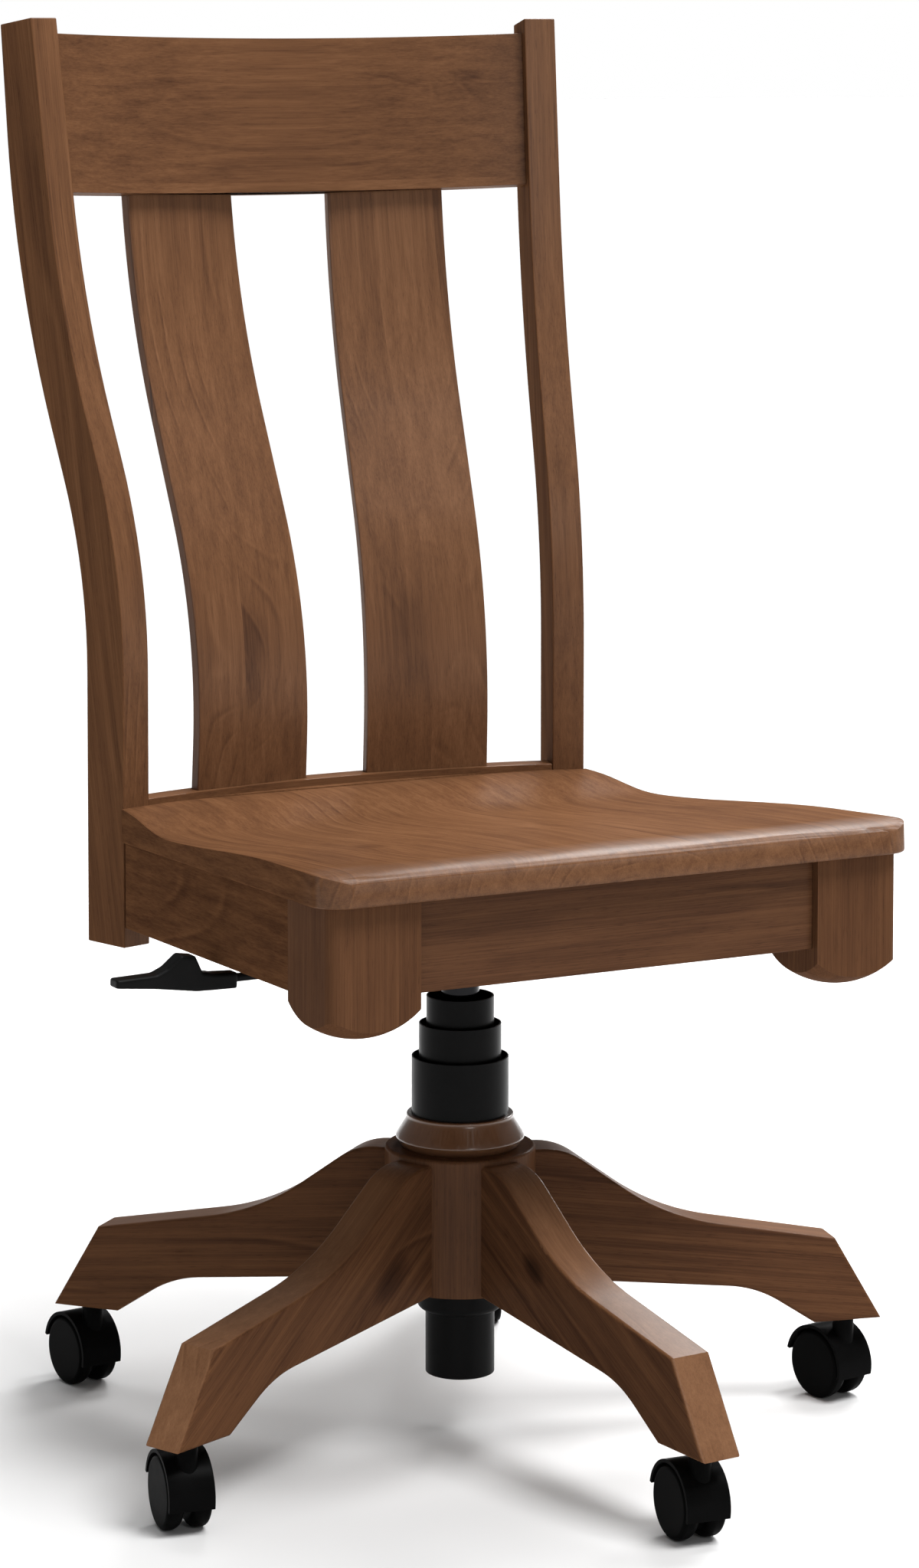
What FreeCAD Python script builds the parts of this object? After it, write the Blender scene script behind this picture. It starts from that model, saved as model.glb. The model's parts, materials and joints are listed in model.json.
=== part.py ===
import FreeCAD, Part
import math
import os
import Sketcher
from FreeCAD import Placement, Rotation, Vector

# A wooden desk chair on a five-arm swivel base. Millimetres and degrees.
# Z is up, the sitter faces -Y and the sitter's left is +X. The origin is on the floor,
# on the axis of the gas lift.

SIZES = [
    # gas lift, a standard tube of 50 mm
    ("tube_radius", 25.0), ("tube_wall", 2.0), ("tube_bottom", 44.0), ("tube_top", 208.0),
    ("tube_floor", 3.0), ("bush_length", 42.0), ("run_gap", 0.06), ("stack_gap", 0.05),
    ("bearing_radius", 12.0), ("bearing_height", 6.0), ("rod_radius", 5.0), ("rod_tail", 4.0),
    ("shoulder_radius", 9.0), ("shoulder_height", 3.0), ("clip_radius", 9.0), ("clip_thickness", 1.5),
    ("clip_gap", 0.2), ("piston_base", 182.0), ("piston_height", 12.0),
    ("column_radius", 14.0), ("column_wall", 2.0), ("column_bottom", 110.0), ("column_top", 404.0),
    ("gland_height", 6.0), ("taper_height", 30.0), ("taper_inset", 0.8), ("cap_height", 44.0),
    ("button_radius", 3.0), ("button_rise", 5.0), ("button_head_radius", 4.5),
    ("button_head_height", 4.0), ("button_head_gap", 0.4),
    # telescopic covers
    ("cover_wall", 1.2), ("lower_cover_radius", 35.1), ("lower_cover_top", 276.0),
    ("middle_cover_radius", 29.8), ("middle_cover_bottom", 238.0), ("middle_cover_length", 62.0),
    ("upper_cover_radius", 24.5), ("upper_cover_bottom", 258.0), ("upper_cover_length", 62.0),
    ("cover_lip", 3.0), ("slide_gap", 0.3),
    # hub, collar and sleeve
    ("hub_radius", 54.5), ("hub_bottom", 111.5), ("hub_top", 211.0), ("hub_round", 2.6),
    ("sleeve_wall", 3.0), ("flange_radius", 31.0), ("flange_height", 20.5), ("flange_round", 4.5),
    ("collar_height", 23.5), ("collar_foot", 42.5), ("collar_widest", 46.4), ("collar_band", 6.0),
    ("collar_band_top", 7.5), ("collar_lip_radius", 38.8), ("collar_lip", 3.5), ("collar_gap", 0.1),
    ("collar_round", 1.2),
    # the five arms
    ("arm_count", 5), ("base_turn", -13.3), ("arm_width", 32.0), ("arm_top", 206.5),
    ("arm_shoulder_reach", 74.5), ("arm_valley_reach", 152.2), ("arm_valley_top", 150.5),
    ("arm_tip_reach", 282.7), ("arm_tip_top", 125.7), ("arm_toe_reach", 319.0), ("foot_height", 63.5),
    ("arm_heel_reach", 267.0), ("arm_arch_reach", 221.5), ("arm_arch_height", 93.1),
    ("arm_root_height", 111.9), ("arm_root_depth", 4.0), ("shoulder_bend", 50.0), ("valley_bend", 185.0),
    ("arch_bend", 88.0), ("arm_round", 2.5), ("bolt_radius", 4.0), ("bolt_height", 160.0),
    ("bolt_inner", 29.0), ("bolt_outer", 82.0),
    # casters
    ("stem_setback", 24.5), ("wheel_radius", 25.4), ("wheel_width", 13.6), ("wheel_inner", 2.6),
    ("wheel_outer_round", 3.5), ("wheel_inner_round", 6.5), ("trail", 15.0), ("web_thickness", 4.4),
    ("hood_gap", 1.1), ("hood_wall", 2.5), ("hood_width", 32.5), ("hood_lean", 13.0),
    ("axle_radius", 3.0), ("axle_length", 27.0), ("axle_boss_radius", 7.5), ("stem_radius", 5.5),
    ("stem_top", 83.0), ("stem_base", 47.0), ("stem_boss_radius", 7.8), ("stem_boss_base", 26.0),
    ("boss_gap", 0.5),
    ("socket_wall", 1.5), ("socket_depth", 21.5), ("socket_flange_radius", 9.5),
    ("socket_flange", 0.8),
    # seat
    ("seat_tilt", 3.12), ("seat_under", 429.9), ("seat_front", 243.0), ("seat_front_half", 232.0),
    ("seat_rear_half", 195.5), ("seat_blank", 26.0), ("seat_rear_edge", 25.0),
    ("seat_corner_round", 22.0), ("seat_lower_round", 2.0), ("seat_tail", 40.0), ("dish_low", 14.0),
    ("dish_front", 22.0), ("dish_rear_slope", 95.0), ("dish_front_slope", 90.0), ("lobe_depth", 3.5),
    ("lobe_front_fade", 120.0), ("lobe_rear_fade", 90.0), ("nose_edge", 15.0), ("nose_reach", 26.0),
    ("scoop_margin", 20.0), ("trim_spare", 60.0),
    # aprons and front posts
    ("apron_height", 63.0), ("apron_thickness", 20.0), ("front_post_width", 67.0),
    ("front_post_depth", 63.0), ("front_post_half", 222.0), ("front_post_front", 232.0),
    ("front_post_corner", 370.0), ("front_post_dome", 60.0), ("front_post_round", 9.0),
    ("apron_setback", 6.0), ("side_apron_setback", 1.2), ("apron_lap", 1.0),
    ("rear_apron_height", 58.0), ("rear_apron_setback", 2.0),
    ("block_leg", 42.0), ("block_height", 40.0),
    # back posts
    ("post_turn", 16.1), ("post_half", 170.4), ("post_front", 164.8), ("post_thickness", 24.6),
    ("post_depth", 41.0), ("post_bottom", 343.5), ("post_bend_low", 624.0),
    ("post_bend_low_rear", 616.5), ("post_bend_high", 809.8), ("post_lean_high", 70.5),
    ("post_bend_high_rear", 826.0), ("post_lean_high_rear", 120.5), ("post_top", 1023.0),
    ("post_lean_top", 101.3), ("post_top_rear", 1018.0), ("post_lean_top_rear", 137.3),
    ("post_low_radius", 436.0), ("post_high_radius", 770.0), ("wedge_lead", 40.0),
    ("wedge_reach", 200.0),
    # crest rail, lower rail and slats
    ("crest_lean", 7.9), ("crest_low", 893.8), ("crest_height", 118.8), ("crest_thickness", 21.0),
    ("crest_setback", 9.3), ("crest_end_half", 195.8), ("crest_end_front", 252.8),
    ("rail_top", 451.0), ("rail_height", 28.0), ("rail_thickness", 18.5),
    ("rail_end_front", 165.6), ("rail_room_lead", 20.0), ("bow_turn", 16.1),
    ("slat_turn", 8.25), ("slat_fan", 7.2), ("slat_half", 74.0), ("slat_front", 189.8),
    ("slat_width", 98.5), ("slat_width_top", 94.0), ("slat_thickness", 10.0), ("slat_tenon", 14.0),
    ("slat_low_bend", 569.5), ("slat_low_lean", -7.3), ("slat_low_radius", 400.0),
    ("slat_high_bend", 799.6), ("slat_high_lean", 84.8), ("slat_high_radius", 610.0),
    ("slat_top", 916.0), ("slat_top_lean", 99.3),
    # seat mechanism and lever
    ("plate_length", 190.0), ("plate_width", 150.0), ("plate_thickness", 3.0),
    ("channel_half", 34.0), ("channel_length", 130.0), ("channel_wall", 2.5),
    ("channel_bottom", 376.0), ("socket_radius", 20.0), ("socket_bottom", 366.0),
    ("socket_top", 403.0), ("screw_radius", 3.0), ("screw_head_radius", 5.5),
    ("screw_head_height", 2.5), ("screw_length", 14.0), ("screw_tip", 4.0),
    ("screw_inset", 14.0),
    ("lever_pivot", 55.0), ("lever_pivot_height", 397.0), ("lever_radius", 3.0),
    ("lever_y", 28.0), ("lever_height", 356.7), ("lever_bend", 120.0), ("lever_rise", 5.0),
    ("lever_knee_reach", 22.0), ("lever_knee_drop", 8.0), ("lever_press_lead", 8.0),
    ("lever_press_past", 3.0), ("lever_press_gap", 0.3), ("pin_radius", 3.0),
    ("handle_inner", 194.0), ("handle_outer", 286.0), ("handle_overlap", 12.0),
    ("handle_thickness", 14.0), ("handle_round", 2.0),
]

# Each caster stands at its own swivel angle: the direction that its axle trails in.
CASTER_TURNS = [99.5, 245.0, 96.5, 82.0, 85.5]

# The lever handle's side view: reach from the sleeve's mouth, then height. The tip comes last.
HANDLE_TOP = [(0, 4.6), (18, 4.6), (27, 6), (33, 17.5), (44, 18.5), (54, 9.5), (62, 5.5)]
HANDLE_TIP_HALF = 3.0
HANDLE_UNDER = [(62, -4.5), (30, -7.5), (0, -6.5)]

# Stock is drawn this much too large where a later cut takes it to size
OVERSIZE = 1.2

doc = FreeCAD.newDocument("DeskChair")
sheet = doc.addObject("Spreadsheet::Sheet", "Values")
for row, (name, number) in enumerate(SIZES, 1):
    sheet.set("A%d" % row, name)
    sheet.set("B%d" % row, str(number))
    sheet.setAlias("B%d" % row, name)
doc.recompute()


class Size:
    """A number together with the sheet expression that gives it."""

    def __init__(self, number, text):
        self.number = number
        self.text = text

    def join(self, other, sign, number, swap=False):
        text = other.text if isinstance(other, Size) else repr(float(other))
        left, right = (text, self.text) if swap else (self.text, text)
        return Size(number, "(%s %s %s)" % (left, sign, right))

    def __add__(self, other):
        return self.join(other, "+", self.number + plain(other))

    def __radd__(self, other):
        return self.join(other, "+", plain(other) + self.number, True)

    def __sub__(self, other):
        return self.join(other, "-", self.number - plain(other))

    def __rsub__(self, other):
        return self.join(other, "-", plain(other) - self.number, True)

    def __mul__(self, other):
        return self.join(other, "*", self.number * plain(other))

    def __rmul__(self, other):
        return self.join(other, "*", plain(other) * self.number, True)

    def __truediv__(self, other):
        return self.join(other, "/", self.number / plain(other))

    def __neg__(self):
        return self * -1


def plain(value):
    """The bare number of a size."""
    return value.number if isinstance(value, Size) else float(value)


class Sizes:
    """Gives each named size of the sheet as an attribute."""

    def __getattr__(self, name):
        return Size(float(sheet.get(name)), "Values.%s" % name)


S = Sizes()
finished = {}


def bind(item, prop, value):
    """Sets a property of an object from the sheet."""
    if isinstance(value, Size):
        item.setExpression(prop, value.text)
    else:
        setattr(item, prop, value)


def keep(item, label):
    """Names a finished sub-part, which is later written to its own file."""
    item.Label = label
    finished[label] = item
    return item


def new_body(name):
    return doc.addObject("PartDesign::Body", name)


def plane_of(body, role):
    return [item for item in body.Origin.OriginFeatures if item.Role == role][0]


def outline(body, role, points):
    """A closed sketch with straight sides, each corner held at its two sizes."""
    sketch = body.newObject("Sketcher::SketchObject", body.Name + "_outline")
    sketch.AttachmentSupport = [(plane_of(body, role), "")]
    sketch.MapMode = "FlatFace"
    corners = [Vector(plain(x), plain(y), 0) for x, y in points]
    count = len(corners)
    for index in range(count):
        sketch.addGeometry(Part.LineSegment(corners[index], corners[(index + 1) % count]), False)
    for index in range(count):
        sketch.addConstraint(Sketcher.Constraint("Coincident", index, 2, (index + 1) % count, 1))
    for index, point in enumerate(points):
        for kind, value in zip(("DistanceX", "DistanceY"), point):
            held = sketch.addConstraint(Sketcher.Constraint(kind, -1, 1, index, 1, plain(value)))
            if isinstance(value, Size):
                sketch.setExpression("Constraints[%d]" % held, value.text)
    doc.recompute()
    return sketch


def pad(body, sketch, length, midplane=False, backwards=False):
    feature = body.newObject("PartDesign::Pad", body.Name + "_pad")
    feature.Profile = sketch
    bind(feature, "Length", length)
    feature.Midplane = midplane
    feature.Reversed = backwards
    doc.recompute()
    return feature


def revolve(body, points):
    """Turns an outline, given as radius and height, about the body's own Z axis."""
    sketch = outline(body, "XZ_Plane", points)
    feature = body.newObject("PartDesign::Revolution", body.Name + "_turned")
    feature.Profile = sketch
    feature.ReferenceAxis = (sketch, ["V_Axis"])
    feature.Angle = 360.0
    doc.recompute()
    return feature


def edges_where(feature, test):
    """Names of a feature's edges whose middle passes a test."""
    names = []
    for number, edge in enumerate(feature.Shape.Edges, 1):
        middle = edge.valueAt((edge.FirstParameter + edge.LastParameter) / 2)
        if test(edge, middle):
            names.append("Edge%d" % number)
    return names


def fillet(body, feature, radius, test):
    names = edges_where(feature, test)
    rounded = body.newObject("PartDesign::Fillet", body.Name + "_round")
    rounded.Base = (feature, names)
    bind(rounded, "Radius", radius)
    doc.recompute()
    return rounded


def at_corner(x, y, first, second, near=0.5):
    """Picks the straight edges that cross a sketch's plane at one of its corners."""
    def test(edge, middle):
        place = {"x": middle.x, "y": middle.y, "z": middle.z}
        return abs(place[first] - plain(x)) < near and abs(place[second] - plain(y)) < near
    return test


def ring_at(radius, height):
    """Picks a turned piece's circular edge of one radius at one height."""
    def test(edge, middle):
        flat = abs(edge.BoundBox.ZLength) < 0.01 and abs(middle.z - plain(height)) < 0.01
        return flat and abs(math.hypot(middle.x, middle.y) - plain(radius)) < 0.01
    return test


def cylinder(name, radius, length, place):
    rod = doc.addObject("Part::Cylinder", name)
    bind(rod, "Radius", radius)
    bind(rod, "Height", length)
    rod.Placement = place
    return rod


def box(name, length, width, height, place):
    block = doc.addObject("Part::Box", name)
    bind(block, "Length", length)
    bind(block, "Width", width)
    bind(block, "Height", height)
    block.Placement = place
    return block


def fuse(name, shapes):
    union = doc.addObject("Part::MultiFuse", name)
    union.Shapes = shapes
    return union


def group(name, shapes):
    together = doc.addObject("Part::Compound", name)
    together.Links = shapes
    return together


def cut(name, base, tool):
    result = doc.addObject("Part::Cut", name)
    result.Base = base
    result.Tool = tool
    return result


def common(name, base, tool):
    result = doc.addObject("Part::Common", name)
    result.Base = base
    result.Tool = tool
    return result


def about_z(angle):
    return Placement(Vector(), Rotation(Vector(0, 0, 1), angle))


TURN_X = Rotation(Vector(0, 1, 0), 90)
TURN_Y = Rotation(Vector(1, 0, 0), -90)


# Gas lift

def gas_lift():
    inner = S.tube_radius - S.tube_wall
    floor_top = S.tube_bottom + S.tube_floor
    hole = S.rod_radius + S.run_gap
    tube = new_body("gas_outer_tube")
    revolve(tube, [(hole, S.tube_bottom), (S.tube_radius, S.tube_bottom), (S.tube_radius, S.tube_top),
                   (inner, S.tube_top), (inner, floor_top), (hole, floor_top)])
    keep(tube, "gas_outer_tube")

    bush = new_body("gas_guide_bush")
    bore = S.column_radius + S.run_gap
    revolve(bush, [(bore, S.tube_top - S.bush_length), (inner, S.tube_top - S.bush_length),
                   (inner, S.tube_top), (bore, S.tube_top)])
    keep(bush, "gas_guide_bush")

    bearing = new_body("thrust_bearing")
    bearing_top = floor_top + S.bearing_height
    revolve(bearing, [(hole, floor_top), (S.bearing_radius, floor_top),
                      (S.bearing_radius, bearing_top), (hole, bearing_top)])
    keep(bearing, "thrust_bearing")

    rod = new_body("piston_rod")
    shoulder = bearing_top + S.stack_gap
    shoulder_top = shoulder + S.shoulder_height
    piston_top = S.piston_base + S.piston_height
    piston = S.column_radius - S.column_wall - S.run_gap
    tail = S.tube_bottom - S.rod_tail
    revolve(rod, [(0, tail), (S.rod_radius, tail), (S.rod_radius, shoulder),
                  (S.shoulder_radius, shoulder), (S.shoulder_radius, shoulder_top),
                  (S.rod_radius, shoulder_top), (S.rod_radius, S.piston_base),
                  (piston, S.piston_base), (piston, piston_top), (0, piston_top)])
    keep(rod, "piston_rod")

    clip = new_body("retaining_clip")
    clip_top = S.tube_bottom - S.clip_gap
    revolve(clip, [(S.rod_radius, clip_top - S.clip_thickness),
                   (S.clip_radius, clip_top - S.clip_thickness),
                   (S.clip_radius, clip_top), (S.rod_radius, clip_top)])
    keep(clip, "retaining_clip")

    column = new_body("inner_cylinder")
    bore = S.column_radius - S.column_wall
    bore_top = S.column_top - S.cap_height
    button_bore = S.button_radius + S.run_gap
    revolve(column, [(hole, S.column_bottom), (S.column_radius, S.column_bottom),
                     (S.column_radius, S.column_top - S.taper_height),
                     (S.column_radius - S.taper_inset, S.column_top),
                     (button_bore, S.column_top), (button_bore, bore_top), (bore, bore_top),
                     (bore, S.column_bottom + S.gland_height), (hole, S.column_bottom + S.gland_height)])
    keep(column, "inner_cylinder")

    button = new_body("release_button")
    head_top = bore_top - S.button_head_gap
    top = S.column_top + S.button_rise
    revolve(button, [(0, head_top - S.button_head_height),
                     (S.button_head_radius, head_top - S.button_head_height),
                     (S.button_head_radius, head_top), (S.button_radius, head_top),
                     (S.button_radius, top), (0, top)])
    keep(button, "release_button")


def covers():
    """Three thin tubes that hide the column. The two sliding ones have a lip at the foot."""
    lower = new_body("lower_cover")
    inner = S.lower_cover_radius - S.cover_wall
    revolve(lower, [(inner, S.hub_top), (S.lower_cover_radius, S.hub_top),
                    (S.lower_cover_radius, S.lower_cover_top), (inner, S.lower_cover_top)])
    keep(lower, "lower_cover")

    middle = new_body("middle_cover")
    bottom = S.middle_cover_bottom
    top = bottom + S.middle_cover_length
    lip = S.lower_cover_radius - S.cover_wall - S.slide_gap
    revolve(middle, [(S.middle_cover_radius - S.cover_wall, bottom), (lip, bottom),
                     (lip, bottom + S.cover_lip), (S.middle_cover_radius, bottom + S.cover_lip),
                     (S.middle_cover_radius, top), (S.middle_cover_radius - S.cover_wall, top)])
    keep(middle, "middle_cover")

    upper = new_body("upper_cover")
    bottom = S.upper_cover_bottom
    top = bottom + S.upper_cover_length
    lip = S.middle_cover_radius - S.cover_wall - S.slide_gap
    inner = S.upper_cover_radius - S.cover_wall
    revolve(upper, [(S.column_radius, bottom), (lip, bottom), (lip, bottom + S.cover_lip),
                    (S.upper_cover_radius, bottom + S.cover_lip), (S.upper_cover_radius, top),
                    (inner, top), (inner, bottom + S.cover_lip),
                    (S.column_radius, bottom + S.cover_lip)])
    keep(upper, "upper_cover")


# Swivel base

def base():
    hub = new_body("hub_turning")
    bore = S.tube_radius + S.sleeve_wall
    turned = revolve(hub, [(bore, S.hub_bottom), (S.hub_radius, S.hub_bottom),
                           (S.hub_radius, S.hub_top), (bore, S.hub_top)])
    fillet(hub, turned, S.hub_round, ring_at(S.hub_radius, S.hub_top))

    sleeve = new_body("hub_sleeve")
    flange_base = S.hub_bottom - S.flange_height
    turned = revolve(sleeve, [(S.tube_radius, flange_base), (S.flange_radius, flange_base),
                              (S.flange_radius, S.hub_bottom), (bore, S.hub_bottom),
                              (bore, S.tube_top), (S.tube_radius, S.tube_top)])
    fillet(sleeve, turned, S.flange_round, ring_at(S.flange_radius, flange_base))
    keep(sleeve, "hub_sleeve")

    collar = new_body("collar_ring")
    inner = S.lower_cover_radius + S.collar_gap
    top = S.hub_top + S.collar_height
    turned = revolve(collar, [(inner, S.hub_top), (S.collar_foot, S.hub_top),
                              (S.collar_widest, S.hub_top + S.collar_band),
                              (S.collar_widest, S.hub_top + S.collar_band_top),
                              (S.collar_lip_radius, top - S.collar_lip), (S.collar_lip_radius, top),
                              (inner, top)])
    fillet(collar, turned, S.collar_round, ring_at(S.collar_lip_radius, top))
    keep(collar, "collar_ring")

    step = 360.0 / plain(S.arm_count)
    angles = [plain(S.base_turn) + step * index for index in range(int(plain(S.arm_count)))]
    bolts = []
    bores = []
    for index, angle in enumerate(angles, 1):
        along = Rotation(Vector(0, 0, 1), angle)
        start = along.multVec(Vector(plain(S.bolt_inner), 0, plain(S.bolt_height)))
        bolts.append(cylinder("bolt_%d" % index, S.bolt_radius, S.bolt_outer - S.bolt_inner,
                              Placement(start, along.multiply(TURN_X))))
        foot = along.multVec(Vector(stem_reach(), 0, plain(S.foot_height)))
        bores.append(cylinder("bore_%d" % index, S.stem_radius + S.run_gap + S.socket_wall,
                              S.socket_depth, Placement(foot, Rotation())))
    arm_bolts = keep(group("arm_bolts", bolts), "arm_bolts")
    keep(cut("hub", hub, arm_bolts), "hub")

    tools = fuse("arm_tools", [hub] + bolts + bores)
    for index, angle in enumerate(angles, 1):
        blank = arm_blank(index, angle)
        keep(cut("arm_%d" % index, blank, tools), "arm_%d" % index)

    sockets = []
    for index, angle in enumerate(angles, 1):
        sockets.append(stem_socket(index, angle))
        caster(index, angle, CASTER_TURNS[(index - 1) % len(CASTER_TURNS)])
    keep(group("stem_sockets", sockets), "stem_sockets")


def arm_blank(index, angle):
    """One sawn arm: its side view is drawn, then given the width of the board."""
    body = new_body("arm_blank_%d" % index)
    start = S.hub_radius - S.arm_root_depth
    corners = [(start, S.arm_root_height), (start, S.arm_top), (S.arm_shoulder_reach, S.arm_top),
               (S.arm_valley_reach, S.arm_valley_top), (S.arm_tip_reach, S.arm_tip_top),
               (S.arm_toe_reach, S.foot_height), (S.arm_heel_reach, S.foot_height),
               (S.arm_arch_reach, S.arm_arch_height)]
    feature = pad(body, outline(body, "XZ_Plane", corners), S.arm_width, midplane=True)
    bends = [(S.arm_shoulder_reach, S.arm_top, S.shoulder_bend),
             (S.arm_valley_reach, S.arm_valley_top, S.valley_bend),
             (S.arm_arch_reach, S.arm_arch_height, S.arch_bend)]
    for x, z, radius in bends:
        feature = fillet(body, feature, radius, at_corner(x, z, "x", "z"))
    side = plain(S.arm_width) / 2

    def long_edge(edge, middle):
        on_side = abs(abs(middle.y) - side) < 0.01
        return on_side and middle.x > plain(start) + 1
    fillet(body, feature, S.arm_round, long_edge)
    body.Placement = about_z(angle)
    return body


def stem_reach():
    """How far out from the gas lift's axis each caster's stem stands."""
    return plain(S.arm_toe_reach - S.stem_setback)


def stem_socket(index, angle):
    """The steel sleeve pressed into an arm's foot, which grips the caster's stem."""
    body = new_body("socket_%d" % index)
    bore = S.stem_radius + S.run_gap
    outer = bore + S.socket_wall
    low = S.foot_height - S.socket_flange
    revolve(body, [(bore, low), (S.socket_flange_radius, low), (S.socket_flange_radius, S.foot_height),
                   (outer, S.foot_height), (outer, S.foot_height + S.socket_depth),
                   (bore, S.foot_height + S.socket_depth)])
    place = about_z(angle).multVec(Vector(stem_reach(), 0, 0))
    body.Placement = Placement(place, Rotation())
    return body


def caster(index, angle, turn):
    """A hooded twin-wheel caster. Its own X is the way that the axle trails behind the stem."""
    centre = about_z(angle).multVec(Vector(stem_reach(), 0, 0))
    place = Placement(centre, Rotation(Vector(0, 0, 1), turn))
    axle_height = S.wheel_radius
    axle_at = Vector(plain(S.trail), 0, plain(axle_height))

    def across(name, radius, width):
        """A cylinder on the axle's line, centred on the caster's middle."""
        start = axle_at + Vector(0, -plain(width) / 2, 0)
        return cylinder(name, radius, width, place.multiply(Placement(start, TURN_Y)))

    inner = S.wheel_radius + S.hood_gap
    outer = inner + S.hood_wall
    tag = "_%d" % index
    shell = cut("hood_shell" + tag, across("hood_outer" + tag, outer, S.hood_width),
                across("hood_inner" + tag, inner, S.hood_width * OVERSIZE))
    web = across("hood_web" + tag, inner + S.hood_wall / 2, S.web_thickness)
    # the hood is open below a plane through the axle, which dips towards the stem
    dip = place.multiply(Placement(axle_at, Rotation(Vector(0, 1, 0), -plain(S.hood_lean))))
    lower = box("hood_lower" + tag, outer * 4, outer * 4, outer * 2,
                dip.multiply(Placement(Vector(-2 * plain(outer), -2 * plain(outer),
                                              -2 * plain(outer)), Rotation())))
    upper_half = cut("hood_upper" + tag, fuse("hood_disc" + tag, [shell, web]), lower)
    axle_boss = across("axle_boss" + tag, S.axle_boss_radius, S.web_thickness)
    boss_top = S.foot_height - S.socket_flange - S.boss_gap
    stem_boss = cylinder("stem_boss" + tag, S.stem_boss_radius, boss_top - S.stem_boss_base,
                         place.multiply(Placement(Vector(0, 0, plain(S.stem_boss_base)), Rotation())))
    wheels_room = cut("wheel_room" + tag, across("room_full" + tag, inner, S.hood_width * OVERSIZE),
                      across("room_web" + tag, inner * OVERSIZE, S.web_thickness))
    boss = cut("boss_trimmed" + tag, stem_boss, wheels_room)
    frame = fuse("hood_frame" + tag, [upper_half, axle_boss, boss])

    axle = across("axle" + tag, S.axle_radius, S.axle_length)
    stem = cylinder("stem" + tag, S.stem_radius, S.stem_top - S.stem_base,
                    place.multiply(Placement(Vector(0, 0, plain(S.stem_base)), Rotation())))
    keep(group("caster_pins" + tag, [axle, stem]), "caster_%d_pins" % index)
    pin_tools = fuse("pin_tools" + tag, [axle, stem])
    keep(cut("caster_hood" + tag, frame, pin_tools), "caster_%d_hood" % index)

    for side, mark in ((1, "a"), (-1, "b")):
        wheel(index, mark, side, place, axle_at)


def wheel(index, mark, side, place, axle_at):
    """One wheel, turned about its own Z, which then lies along the axle."""
    body = new_body("wheel_%d%s" % (index, mark))
    inner = S.wheel_inner
    outer = S.wheel_inner + S.wheel_width
    bore = S.axle_radius + S.run_gap
    depth = S.axle_length / 2 + S.slide_gap
    turned = revolve(body, [(bore, inner), (S.wheel_radius, inner), (S.wheel_radius, outer),
                            (0, outer), (0, depth), (bore, depth)])
    turned = fillet(body, turned, S.wheel_outer_round, ring_at(S.wheel_radius, outer))
    fillet(body, turned, S.wheel_inner_round, ring_at(S.wheel_radius, inner))
    spin = Rotation(Vector(1, 0, 0), -90 * side)
    body.Placement = place.multiply(Placement(axle_at, spin))
    keep(body, "caster_%d_wheel_%s" % (index, mark))


# Seat frame

TILT = Rotation(Vector(1, 0, 0), -plain(S.seat_tilt))
SEAT_PLACE = Placement(Vector(0, 0, plain(S.seat_under)), TILT)


def above_seat_plane():
    """A block that fills everything above the seat's underside."""
    reach = plain(S.seat_front_half) * 4
    corner = SEAT_PLACE.multiply(Placement(Vector(-reach / 2, -reach / 2, 0), Rotation()))
    return box("above_seat", S.seat_front_half * 4, S.seat_front_half * 4, S.seat_blank * 8, corner)


def bow_radius(end_half):
    """Radius of a plan curve that meets a post square on."""
    return plain(end_half) / math.sin(math.radians(plain(S.bow_turn)))


def bow_band(name, end_half, end_front, thickness, length, place):
    """A board bowed to the rear: a thick arc in plan, given a height along its own Z."""
    radius = bow_radius(end_half)
    centre_y = plain(end_front) - radius * math.cos(math.radians(plain(S.bow_turn)))
    front = cylinder(name + "_front", radius, length, place.multiply(
        Placement(Vector(0, centre_y, 0), Rotation())))
    rear = cylinder(name + "_rear", radius + plain(thickness), length, place.multiply(
        Placement(Vector(0, centre_y, 0), Rotation())))
    return cut(name + "_ring", rear, front)


def between_posts():
    """A wedge that fills the room between the two back posts."""
    body = new_body("post_wedge")
    turn = math.radians(plain(S.post_turn))
    near = S.post_front - S.wedge_lead
    far = S.post_front + S.wedge_reach
    wide = S.post_half + S.wedge_reach * math.tan(turn)
    narrow = S.post_half - S.wedge_lead * math.tan(turn)
    sketch = outline(body, "XY_Plane", [(-narrow, near), (narrow, near), (wide, far), (-wide, far)])
    pad(body, sketch, S.post_top * OVERSIZE)
    return body


def back_post(name, side):
    """One curved back post, sawn from a board and turned a little about the vertical."""
    body = new_body(name + "_body")
    depth = S.post_depth
    corners = [(0, S.post_bottom), (depth, S.post_bottom), (depth, S.post_bend_low_rear),
               (S.post_lean_high_rear, S.post_bend_high_rear), (S.post_lean_top_rear, S.post_top_rear),
               (S.post_lean_top, S.post_top), (S.post_lean_high, S.post_bend_high), (0, S.post_bend_low)]
    feature = pad(body, outline(body, "YZ_Plane", corners), S.post_thickness, backwards=side < 0)
    bends = [(0, S.post_bend_low, S.post_low_radius),
             (S.post_lean_high, S.post_bend_high, S.post_high_radius),
             (depth, S.post_bend_low_rear, S.post_low_radius - S.post_depth),
             (S.post_lean_high_rear, S.post_bend_high_rear, S.post_high_radius + S.post_depth)]
    for y, z, radius in bends:
        feature = fillet(body, feature, radius, at_corner(y, z, "y", "z"))
    body.Placement = Placement(Vector(side * plain(S.post_half), plain(S.post_front), 0),
                               Rotation(Vector(0, 0, 1), -side * plain(S.post_turn)))
    return keep(body, name)


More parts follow.
